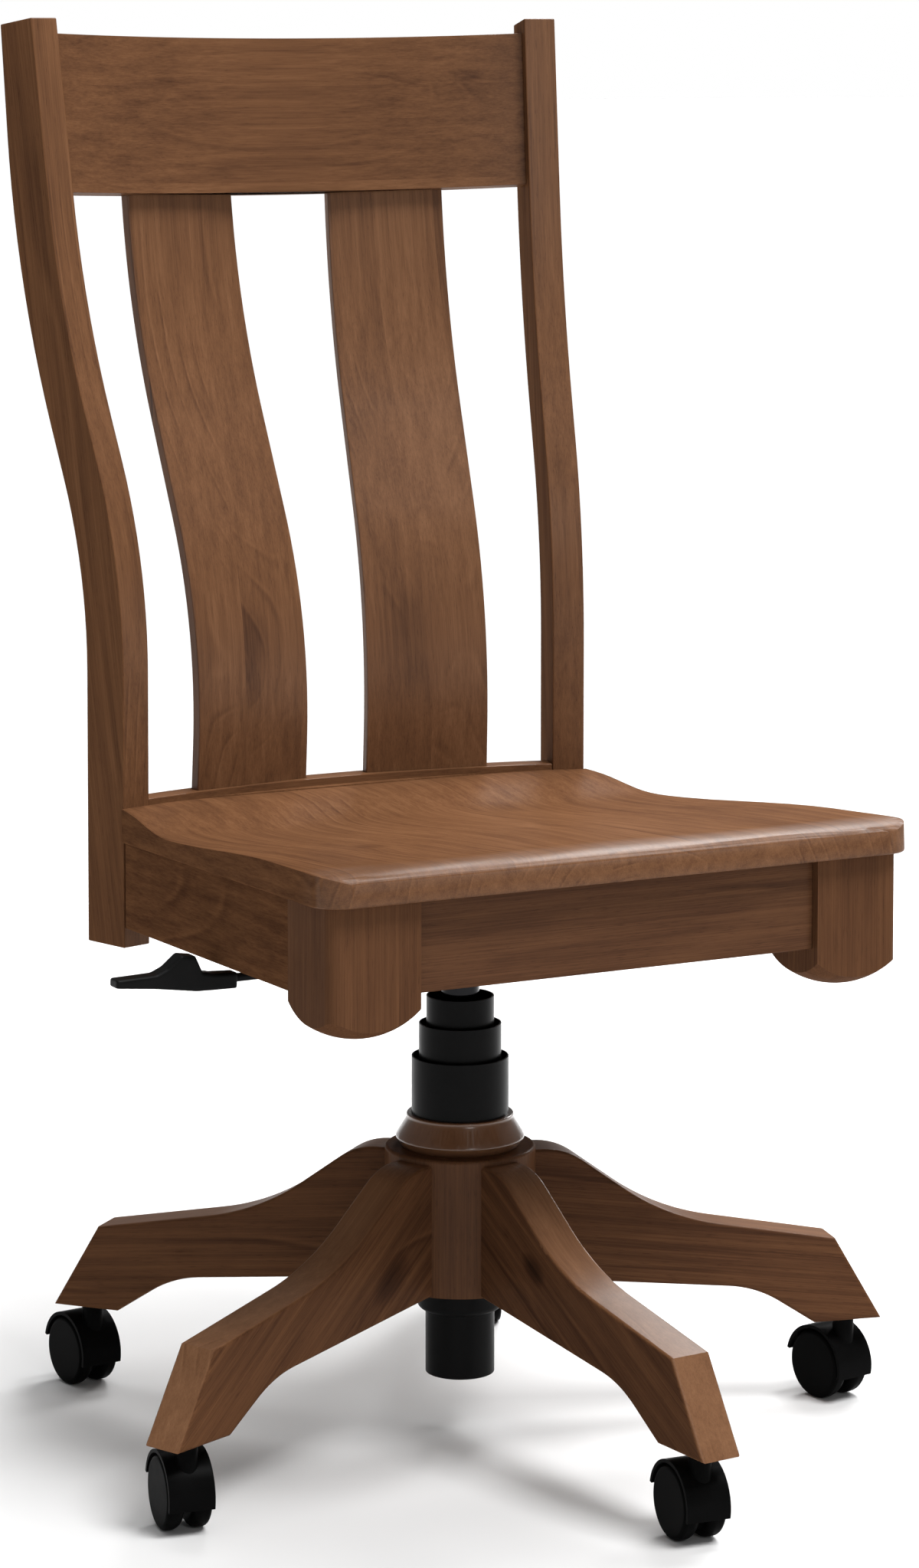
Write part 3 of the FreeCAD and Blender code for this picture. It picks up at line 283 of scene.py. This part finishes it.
def wood(name, along, face, centre, seed, tone_and_shade=0.0, board=None, seam=0.0, knots=(), gloss=0.40,
         shine=0.22, figure=1.0, calm=1.0, half=None, wide=None, painted_side_shade=0.0,
         rubbed=0.0):
    """Stained hardwood, sawn from a log and glued up from strips if a board width is given.

    Rings lie about a log below the board, fibres run along it, and the stain took unevenly.
    A knot darkens its own strip and pushes the rings aside. The sawn sides, half a board's
    thickness or width from its middle, are darkened with painted shade and keep less lacquer.
    Behind its front edge a seat is rubbed dull.
    """
    shader = Shader(name, Coat_Weight=shine, Coat_Roughness=gloss - COAT_FINER,
                    Specular_IOR_Level=0.0)
    turn = grain_turn(along, face)
    x, y, z = shader.place(turn, centre)
    # The tone shifts the whole piece: real stain on most boards, painted shade on the aprons,
    # front posts and hub, painted light on the arms' narrow faces
    shade = tone_and_shade
    shift = 0.0
    strip = None
    if board:
        strip = (y / board + (0.5 + seam)).maths("FLOOR")
        own = shader.value("ShaderNodeTexWhiteNoise", {"noise_dimensions": "1D"})
        shader.feed(own.socket.node.inputs["W"], strip + seed)
        shift = strip * 0.37
        shade = tone_and_shade + (own - 0.5) * STRIP_SHARE * calm
    if half or wide:
        if half:
            reach, limit = z.maths("ABSOLUTE"), half
        else:
            reach, limit = y.maths("ABSOLUTE") + x * SEAT_TAPER, wide
        edge = reach.between(limit - SAWN_BAND[0], limit - SAWN_BAND[1])
        # Painted shade: the sawn sides are darkened here
        shade = shade + edge * painted_side_shade
        dull = x.between(*SEAT_RUBBED) * rubbed
        shader.set(Coat_Weight=(1.0 - edge * SAWN_DULL) * (1.0 - dull) * shine)
    run = x + shift + seed * 1.37
    side = y + shift * 0.13

    sway = shader.noise(run * 9.0, side * 26.0, z * 26.0, 2.0) - 0.5
    pull = 0.0
    darker = 0.0
    back = turn.transposed()
    for spot, size, depth in knots:
        local = back @ (Vector(spot) - Vector(centre))
        dx = (x - local.x) * 0.62
        dy = y - local.y
        dz = (z - local.z) * 0.4
        gap = (dx * dx + dy * dy + dz * dz).maths("SQRT") / size + sway * 0.9
        near = 1.0 - gap.between(0.2, 1.25)
        if board:
            own_strip = math.floor(local.y / board + 0.5 + seam)
            near = near * (1.0 - (strip - own_strip).maths("ABSOLUTE")).clamp()
        pull = pull + (1.0 - gap.between(0.3, 3.2)) * size * 0.7
        darker = darker + near * depth

    bend = shader.noise(run * 2.2, side * 7.0, z * 7.0, 2.0) - 0.5
    heart = math.sin(seed * 12.9) * 0.022
    off = side + heart + bend * 0.026
    deep = z + LOG_DEPTH + bend * 0.014
    radius = (off * off + deep * deep).maths("SQRT") + run * 0.009 + sway * 0.0016 + pull
    turns = radius / RING_SPACING
    wave = (turns * (2 * math.pi)).maths("SINE") * 0.5 + 0.5
    late = wave ** 7.0
    pale = ((turns + 0.12) * (2 * math.pi)).maths("SINE").maths("MAXIMUM", 0.0) ** 9.0
    shown = shader.noise(run * 7.0 + 5.0, side * 24.0, z * 24.0, 1.0).between(0.46, 0.66) * figure

    length, width = FIBRE
    fibre = shader.noise(run / length, side / width, z / width, 3.0, 0.62)
    length, width = BAND
    band = shader.noise(run / length + 7.0, side / width, z / width, 2.0, 0.6)
    length, width = STREAK
    streak = shader.noise(run / length + 3.0, side / width, z / width, 2.0)
    length, width = FLECK
    fleck = shader.noise(run / length, side / width, z / width, 1.0).between(0.61, 0.76)
    length, width = BLOTCH
    blotch = shader.noise(run / length, side / width, z / width, 3.0, 0.55, 0.3)
    stain = blotch.between(0.60, 0.80)

    light = (PLAIN_LIGHT + shade + (fibre - 0.5) * FIBRE_SHARE + (band - 0.5) * BAND_SHARE * calm
             + (streak - 0.5) * STREAK_SHARE * calm + (blotch - 0.5) * BLOTCH_SHARE
             - late * shown * LATE_SHARE + pale * shown * PALE_SHARE
             - fleck * FLECK_SHARE * (0.4 + figure * 0.6) - stain * STAIN_SHARE - darker)
    shader.set(Base_Color=shader.ramp(light.clamp(), STAIN))
    rough = gloss + (fibre - 0.5) * 0.16 + fleck * 0.10 + (blotch - 0.5) * 0.10
    shader.set(Roughness=rough.clamp())
    shader.bump(fibre * 0.5 - fleck * 0.6 - late * shown * 0.25, 0.16, 0.0002)
    return shader.material


def moulded(name, colour, gloss, grain=0.00035, depth=0.10, shine=0.06):
    """Black moulded plastic: even colour, a fine mould texture and faint handling marks."""
    shader = Shader(name, Specular_IOR_Level=shine)
    x, y, z = shader.place()
    fine = shader.noise(x / grain, y / grain, z / grain, 2.0)
    smudge = shader.noise(x / 0.018, y / 0.018, z / 0.018, 3.0, 0.6)
    light = (0.5 + (smudge - 0.5) * 0.5 + (fine - 0.5) * 0.2).clamp()
    pale = [channel * 1.5 for channel in colour]
    dark = [channel * 0.65 for channel in colour]
    shader.set(Base_Color=shader.ramp(light, [(0.2, dark), (0.8, pale)]))
    shader.set(Roughness=(gloss + (smudge - 0.5) * 0.16 + (fine - 0.5) * 0.06).clamp())
    shader.bump(fine, depth, 0.0001)
    return shader.material


def metal(name, colour, gloss, streak=0.0006, brushed=0.10):
    """Plated or polished steel, with fine turning lines round the upright axis."""
    shader = Shader(name, Metallic=1.0)
    x, y, z = shader.place()
    lines = shader.noise(x / 0.02, y / 0.02, z / streak, 2.0)
    cloud = shader.noise(x / 0.012, y / 0.012, z / 0.02, 2.0)
    pale = [min(1.0, channel * 1.06) for channel in colour]
    dark = [channel * 0.9 for channel in colour]
    light = (0.5 + (cloud - 0.5) * 0.8).clamp()
    shader.set(Base_Color=shader.ramp(light, [(0.2, dark), (0.8, pale)]))
    shader.set(Roughness=(gloss + (lines - 0.5) * brushed + (cloud - 0.5) * 0.08).clamp())
    shader.bump(lines, 0.05, 0.00005)
    return shader.material


def turned_wood(name, foot):
    """Dark lacquered wood off the lathe, with fine rings round its upright axis."""
    shader = Shader(name, Coat_Weight=0.9, Coat_Roughness=0.20, Specular_IOR_Level=0.3)
    x, y, z = shader.place(centre=(0, 0, foot))
    streak = shader.noise(x / 0.004, y / 0.004, z / 0.030, 3.0, 0.6)
    lathe = shader.noise(x / 0.05, y / 0.05, z / 0.0009, 2.0)
    # Painted shade: darker towards the collar's foot, lighter towards its top
    light = 0.46 + (streak - 0.5) * 0.05 + (lathe - 0.5) * 0.05 + z * 2.0
    shader.set(Base_Color=shader.ramp(light.clamp(), STAIN))
    shader.set(Roughness=(0.30 + (lathe - 0.5) * 0.10).clamp())
    shader.bump(lathe, 0.06, 0.0001)
    return shader.material


def only(piece):
    """Makes one object the only one that operators act on."""
    if bpy.context.object and bpy.context.object.mode != "OBJECT":
        bpy.ops.object.mode_set(mode="OBJECT")
    bpy.ops.object.select_all(action="DESELECT")
    piece.select_set(True)
    bpy.context.view_layer.objects.active = piece


def body_name(node):
    """The CAD body that a node belongs to."""
    for body, members in frame["record"]["behaviour"]["bodies"].items():
        if node in members:
            return body
    return None


def finished(node, material, edge, steps=2, sharp=32, nose=False, even=True, soft=0):
    """A finished copy of a CAD piece: its seams closed, flat faces joined and edges eased."""
    mesh = frame["nodes"][node].data.copy()
    mesh.materials.clear()
    piece = bpy.data.objects.new(node + "_finished", mesh)
    bpy.context.scene.collection.objects.link(piece)
    only(piece)
    bpy.ops.object.mode_set(mode="EDIT")
    bpy.ops.mesh.select_all(action="SELECT")
    bpy.ops.mesh.remove_doubles(threshold=0.000004)
    bpy.ops.mesh.dissolve_limited(angle_limit=math.radians(0.4))
    if nose:
        cut_nose()
    bpy.ops.object.mode_set(mode="OBJECT")
    if nose:
        round_nose(piece)
    if soft:
        soften(piece, soft)
    elif edge:
        ease = piece.modifiers.new("eased_edges", "BEVEL")
        ease.width = edge
        ease.segments = steps
        ease.limit_method = "ANGLE"
        ease.angle_limit = math.radians(sharp)
        ease.miter_outer = "MITER_ARC"
        ease.use_clamp_overlap = True
        bpy.ops.object.modifier_apply(modifier=ease.name)
    bpy.ops.object.shade_smooth_by_angle(angle=math.radians(sharp))
    if even:
        shading = piece.modifiers.new("even_shading", "WEIGHTED_NORMAL")
        shading.keep_sharp = True
        bpy.ops.object.modifier_apply(modifier=shading.name)
    piece.data.materials.append(material)
    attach(piece, body_name(node))
    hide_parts(node)
    return piece


def soften(piece, rounds):
    """Rounds every corner of a moulded piece, as a hand would feel it."""
    skin = piece.modifiers.new("fine_skin", "REMESH")
    skin.mode = "VOXEL"
    skin.voxel_size = GRIP_SKIN
    bpy.ops.object.modifier_apply(modifier=skin.name)
    smooth = piece.modifiers.new("softened", "SMOOTH")
    smooth.factor = 0.5
    smooth.iterations = rounds
    bpy.ops.object.modifier_apply(modifier=smooth.name)


def middle(node):
    low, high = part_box(node)
    return (low + high) / 2


def board_middle(node, face):
    """The board's centre, set halfway between its two wide faces, and half its thickness."""
    way = Vector(face).normalized()
    reach = [way.dot(point.co) for point in frame["nodes"][node].data.vertices]
    centre = middle(node)
    off = (min(reach) + max(reach)) / 2 - way.dot(centre)
    return centre + way * off, (max(reach) - min(reach)) / 2


def dress_back():
    """Posts, crest, slats and lower rail. Their grain runs along each board."""
    for node, side, seed in (("left_back_post", 1, 2.3), ("right_back_post", -1, 5.1)):
        face = (side * math.cos(POST_TURN), -math.sin(POST_TURN), 0)
        centre, half = board_middle(node, face)
        stain = wood(node + "_wood", (0, 0.17, 1), face, centre, seed, shine=0.32, half=half,
                     painted_side_shade=-0.03)
        finished(node, stain, CRISP_EDGE)
    crest = wood("crest_wood", (1, 0, 0), (0, -1, 0.1), middle("crest_rail"), 7.7, board=0.074,
                 seam=0.2, figure=0.5, knots=CREST_KNOTS)
    finished("crest_rail", crest, CRISP_EDGE)
    rail = wood("lower_rail_wood", (1, 0, 0), (0, -1, 0), middle("lower_back_rail"), 3.9)
    finished("lower_back_rail", rail, CRISP_EDGE)
    for node, seed, tone_and_shade, seam in (("left_slat", 1.2, 0.055, 0.42), ("right_slat", 9.4, 0.0, 0.5)):
        stain = wood(node + "_wood", (0, 0.14, 1), (0, -1, 0.14), middle(node), seed, tone_and_shade=tone_and_shade,
                     board=0.0495, seam=seam, knots=SLAT_KNOTS[node], shine=0.42)
        finished(node, stain, EASED_EDGE)


def cut_nose():
    """Cuts the seat's front edge into narrow strips, ready to be rounded."""
    across = SEAT_PLACE.to_3x3() @ Vector((0, 1, 0))
    for reach in NOSE_CUTS:
        place = SEAT_PLACE @ Vector((0, reach - SEAT_FRONT, 0))
        bpy.ops.mesh.select_all(action="SELECT")
        bpy.ops.mesh.bisect(plane_co=place, plane_no=across)


def round_nose(piece):
    """Lays the strips' upper points on a quarter of an ellipse, from the top to the front face."""
    into = SEAT_PLACE.inverted()
    for point in piece.data.vertices:
        spot = into @ point.co
        reach = spot.y + SEAT_FRONT
        if reach > NOSE_REACH + 0.0001 or spot.z < NOSE_EDGE - 0.003:
            continue
        left = 1 - max(reach, 0.0) / NOSE_REACH
        drop = (NOSE_TOP - NOSE_EDGE) * (1 - math.sqrt(max(0.0, 1 - left * left)))
        fade = max(reach, 0.0) / LOBE_FADE
        hollow = (1 - math.cos(2 * math.pi * min(abs(spot.x) / SEAT_HALF, 1.0))) / 2
        hollow *= LOBE_DEPTH * fade * fade * (3 - 2 * fade)
        spot.z = NOSE_TOP - drop - hollow
        point.co = SEAT_PLACE @ spot


def dress_seat():
    """The glued-up seat, whose boards run from front to back, and the frame under it."""
    seat = wood("seat_wood", (0, 1, -0.055), (0, 0.055, 1), middle("seat"), 4.6, tone_and_shade=-0.03,
                board=0.074, seam=0.3, gloss=0.42, shine=0.32, figure=0.9, knots=SEAT_KNOTS,
                wide=SEAT_MIDDLE_HALF, painted_side_shade=-0.03, rubbed=0.85)
    finished("seat", seat, SEAT_EDGE, steps=4, sharp=30, nose=True, even=False)
    # Painted shade: the front apron's low tone darkens it as in the seat's shadow
    front = wood("front_apron_wood", (1, 0, 0), (0, -1, 0), middle("front_apron"), 6.5,
                 tone_and_shade=-0.155, shine=0.10, calm=0.7)
    finished("front_apron", front, CRISP_EDGE)
    rear = wood("rear_apron_wood", (1, 0, 0), (0, 1, 0), middle("rear_apron"), 8.8, tone_and_shade=-0.08,
                shine=0.10)
    finished("rear_apron", rear, CRISP_EDGE)
    # Painted shade: the side aprons' low tone darkens them as in the seat's shadow
    for node, side, seed in (("left_side_apron", 1, 3.3), ("right_side_apron", -1, 0.4)):
        stain = wood(node + "_wood", (0.08 * side, -1, 0.055), (side, 0, 0), middle(node), seed,
                     tone_and_shade=-0.10, shine=0.0)
        finished(node, stain, CRISP_EDGE)
    # Painted shade: the front posts' low tone darkens them under the seat's edge
    for node, seed in (("left_front_post", 2.9), ("right_front_post", 6.1)):
        stain = wood(node + "_wood", (0, 0, 1), (0, -1, 0), middle(node), seed, tone_and_shade=-0.13,
                     board=0.034, shine=0.05, figure=0.4, calm=0.3)
        finished(node, stain, EASED_EDGE)
    blocks = wood("corner_block_wood", (1, 0, 0), (0, 0, 1), middle("corner_blocks"), 1.9,
                  tone_and_shade=0.02)
    finished("corner_blocks", blocks, CRISP_EDGE)


def dress_base():
    """Hub, collar and arms. Each arm's grain runs down its own slope."""
    # Painted shade: the hub's low tone darkens it as in the seat's shadow
    hub = wood("hub_wood", (0, 0, 1), (-0.48, -0.88, 0), middle("hub"), 5.5, tone_and_shade=-0.15,
               board=0.048, shine=0.14, calm=0.6)
    finished("hub", hub, CRISP_EDGE)
    finished("collar_ring", turned_wood("collar_wood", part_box("collar_ring")[0].z), COLLAR_EDGE)
    for index in range(ARM_COUNT):
        node = "arm_%d" % (index + 1)
        turn = BASE_TURN + 2 * math.pi * index / ARM_COUNT
        out = Vector((math.cos(turn), math.sin(turn), 0))
        side = Vector((-math.sin(turn), math.cos(turn), 0))
        slope = math.radians(GRAIN_SLOPES[index])
        along = out * math.cos(slope) + Vector((0, 0, 1)) * math.sin(slope)
        knots = [(out * reach + side * offset + Vector((0, 0, height)), size, depth)
                 for arm, reach, offset, height, size, depth in ARM_KNOTS if arm == index + 1]
        # Painted light on each arm's narrow faces, painted shade on its sawn sides
        tone_and_shade, painted_side_shade = ARM_LIGHT_AND_SHADE[index]
        stain = wood(node + "_wood", along, side, middle(node), 1.7 + 2.13 * index, tone_and_shade=tone_and_shade,
                     knots=knots, shine=0.45, half=ARM_HALF, painted_side_shade=painted_side_shade)
        finished(node, stain, EASED_EDGE)


def dress_lift():
    """Gas lift, cover tubes, sleeve and the steelwork under the seat."""
    covers = moulded("cover_plastic", (0.0040, 0.0040, 0.0040), 0.32)
    for node in ("lower_cover", "middle_cover", "upper_cover"):
        finished(node, covers, TUBE_EDGE)
    painted = moulded("black_paint", (0.0038, 0.0038, 0.0038), 0.40, grain=0.0009, depth=0.05)
    for node in ("gas_outer_tube", "hub_sleeve"):
        finished(node, painted, PAINTED_EDGE)
    # Painted shade: the near-black colour stands in for the dark that polished steel reflects
    # inside the covers
    chrome_painted_dark = metal("steel_painted_dark", (0.016, 0.016, 0.017), 0.10)
    for node in ("inner_cylinder", "release_button", "piston_rod"):
        finished(node, chrome_painted_dark, METAL_EDGE)
    powder = moulded("powder_coat", (0.0060, 0.0060, 0.0062), 0.46, grain=0.0005, depth=0.16)
    for node in ("seat_plate", "mechanism_channel", "taper_socket", "lever_rod"):
        finished(node, powder, TUBE_EDGE)
    zinc = metal("zinc_plate", (0.58, 0.58, 0.60), 0.34, brushed=0.2)
    for node in ("plate_screws", "arm_bolts", "stem_sockets", "thrust_bearing", "retaining_clip"):
        finished(node, zinc, METAL_EDGE)
    pale = moulded("guide_plastic", (0.55, 0.54, 0.50), 0.5)
    finished("gas_guide_bush", pale, METAL_EDGE)
    grip = moulded("grip_plastic", (0.0050, 0.0050, 0.0050), 0.40, grain=0.0004, depth=0.14)
    finished("lever_handle", grip, 0, sharp=60, even=False, soft=GRIP_ROUNDS)


def dress_casters():
    """Hood, two wheels, stem and axle of each caster."""
    hood = moulded("hood_plastic", (0.0030, 0.0030, 0.0030), 0.34, shine=0.012)
    tread = moulded("wheel_plastic", (0.0024, 0.0024, 0.0024), 0.38, shine=0.012)
    pins = metal("pin_steel", (0.58, 0.58, 0.60), 0.34, brushed=0.2)
    for index in range(1, ARM_COUNT + 1):
        finished("caster_%d_hood" % index, hood, PLASTIC_EDGE, steps=3)
        finished("caster_%d_pins" % index, pins, METAL_EDGE)
        for mark in "ab":
            finished("caster_%d_wheel_%s" % (index, mark), tread, TUBE_EDGE)


def studio():
    """Pale floor, and a sky that is bright overhead and matches the floor at the horizon."""
    bpy.ops.mesh.primitive_plane_add(size=FLOOR_SIZE, location=(0, 0, 0))
    floor = bpy.context.object
    floor.name = "studio_floor"
    paper = Shader("studio_paper", Roughness=0.95, Specular_IOR_Level=0.1)
    x, y, z = paper.place()
    cloud = paper.noise(x / 0.6, y / 0.6, z, 3.0)
    away = (x * x + y * y).maths("SQRT").between(*FLOOR_FADE)
    tint = away + (cloud - 0.5) * 0.05
    near, far = (FLOOR_NEAR,) * 3, (FLOOR_FAR,) * 3
    paper.set(Base_Color=paper.ramp(tint.clamp(), [(0.0, near), (1.0, far)]))
    floor.data.materials.append(paper.material)

    world = bpy.data.worlds.new("studio_air")
    world.use_nodes = True
    tree = world.node_tree
    way = tree.nodes.new("ShaderNodeTexCoord").outputs["Generated"]
    parts = tree.nodes.new("ShaderNodeSeparateXYZ")
    tree.links.new(way, parts.inputs[0])
    sky = tree.nodes.new("ShaderNodeValToRGB")
    tree.links.new(parts.outputs["Z"], sky.inputs[0])
    while len(sky.color_ramp.elements) < len(SKY):
        sky.color_ramp.elements.new(0.5)
    for stop, (position, light) in zip(sky.color_ramp.elements, SKY):
        stop.position = position
        stop.color = (light, light, light, 1.0)
    tree.links.new(sky.outputs[0], tree.nodes["Background"].inputs["Color"])
    bpy.context.scene.world = world

    lamp = bpy.data.lights.new("key_sun", "SUN")
    lamp.energy = SUN_POWER
    lamp.angle = SUN_WIDTH
    sun = bpy.data.objects.new("key_sun", lamp)
    bpy.context.scene.collection.objects.link(sun)
    sun.rotation_euler = Vector(SUN_WAY).to_track_quat("Z", "Y").to_euler()
    for softbox in SOFTBOXES:
        soft_light(*softbox)


def soft_light(name, place, target, size, power):
    """A square softbox that faces a point."""
    lamp = bpy.data.lights.new(name, "AREA")
    lamp.shape = "SQUARE"
    lamp.size = size
    lamp.energy = power
    box = bpy.data.objects.new(name, lamp)
    bpy.context.scene.collection.objects.link(box)
    box.location = place
    box.rotation_euler = (Vector(target) - Vector(place)).to_track_quat("-Z", "Y").to_euler()


def camera():
    """The photograph's camera, without depth of field."""
    eye = bpy.data.cameras.new("photo_camera")
    eye.lens = CAMERA_LENS
    eye.sensor_width = 36
    eye.shift_x = CAMERA_SHIFT[0]
    eye.shift_y = CAMERA_SHIFT[1]
    holder = bpy.data.objects.new("photo_camera", eye)
    bpy.context.scene.collection.objects.link(holder)
    holder.location = CAMERA_PLACE
    holder.rotation_euler = (math.radians(90) - CAMERA_PITCH, 0, -CAMERA_YAW)
    bpy.context.scene.camera = holder


dress_back()
dress_seat()
dress_base()
dress_lift()
dress_casters()
studio()
camera()
bpy.context.scene.view_settings.view_transform = "Standard"
